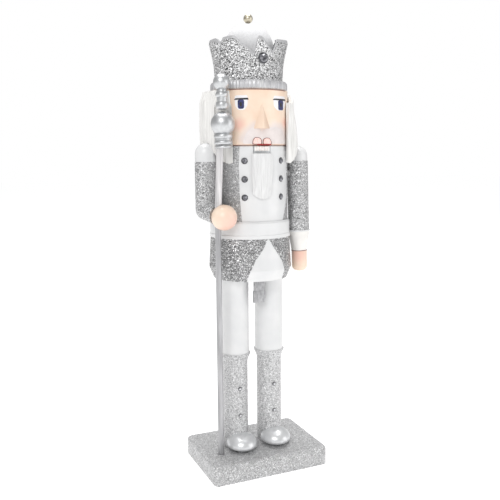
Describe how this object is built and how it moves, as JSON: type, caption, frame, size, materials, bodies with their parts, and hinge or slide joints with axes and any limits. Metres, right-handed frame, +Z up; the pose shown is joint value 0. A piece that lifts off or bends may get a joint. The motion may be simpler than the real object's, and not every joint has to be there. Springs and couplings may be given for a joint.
{
  "type": "nutcracker figure",
  "caption": "Turned wooden nutcracker king on a block base, with glittered coat, crown, staff and a lever that works the jaw.",
  "frame": {"origin": "where the body's turning axis meets the underside of the base", "axes": "+Z up along the body's turning axis, -Y the way the figure faces, +X towards the figure's left hand"},
  "size_m": [0.104, 0.082, 0.3799],
  "materials": {
    "silver_glitter": "silver glitter glued over grey paint",
    "white_lacquer": "white satin lacquer",
    "skin_paint": "pale skin paint, satin, with painted face",
    "satin_silver": "satin silver paint",
    "pearl_silver": "pearl silver glitter band",
    "gold_paint": "champagne gold paint",
    "faux_fur": "white long-pile faux fur",
    "silver_braid": "silver braid",
    "rhinestone": "faceted foil-backed rhinestone",
    "bare_wood": "bare beech dowel",
    "steel_pin": "plain steel"
  },
  "bodies": {
    "figure": {"base_block": "silver_glitter", "shoe_right": "satin_silver", "shoe_left": "satin_silver", "leg_right": "white_lacquer", "leg_left": "white_lacquer", "foot_dowels": "bare_wood", "hip_dowels": "bare_wood", "coat_skirt": "silver_glitter", "waist_dowel": "bare_wood", "belt": "white_lacquer", "torso": "silver_glitter", "shoulder_dowels": "bare_wood", "neck_dowels": "bare_wood", "jaw_pivot_pin": "steel_pin", "head": "skin_paint", "nose": "skin_paint", "hair": "faux_fur", "crown_band": "pearl_silver", "crown": "silver_glitter", "hat_dome": "white_lacquer", "crown_dowel": "bare_wood", "finial_bead": "gold_paint", "finial_nail": "steel_pin", "arm_right": "silver_glitter", "forearm_right": "silver_glitter", "staff_head": "satin_silver", "staff_rod": "satin_silver", "hand_right": "skin_paint", "arm_left": "silver_glitter", "cuff_left": "white_lacquer", "hand_left": "skin_paint", "sash_tail": "silver_braid", "coat_gems": "rhinestone", "boot_gems": "rhinestone", "crown_gem": "rhinestone"},
    "jaw": {"jaw_lever": "satin_silver"},
    "beard": {"beard": "faux_fur"}
  },
  "joints": [
    {"name": "jaw_hinge", "type": "hinge", "parent": "figure", "child": "jaw", "pos_m": [-0.00031, -0.00399, 0.26], "axis": [0.9969, -0.0785, 0], "range_deg": [0, 25]},
    {"name": "beard_hang", "type": "hinge", "parent": "jaw", "child": "beard", "pos_m": [-0.00251, -0.0319, 0.268], "axis": [0.9969, -0.0785, 0], "range_deg": [-25, 0]}
  ],
  "couplings": [
    {"joint": "beard_hang", "follows": "jaw_hinge", "ratio": -1}
  ]
}
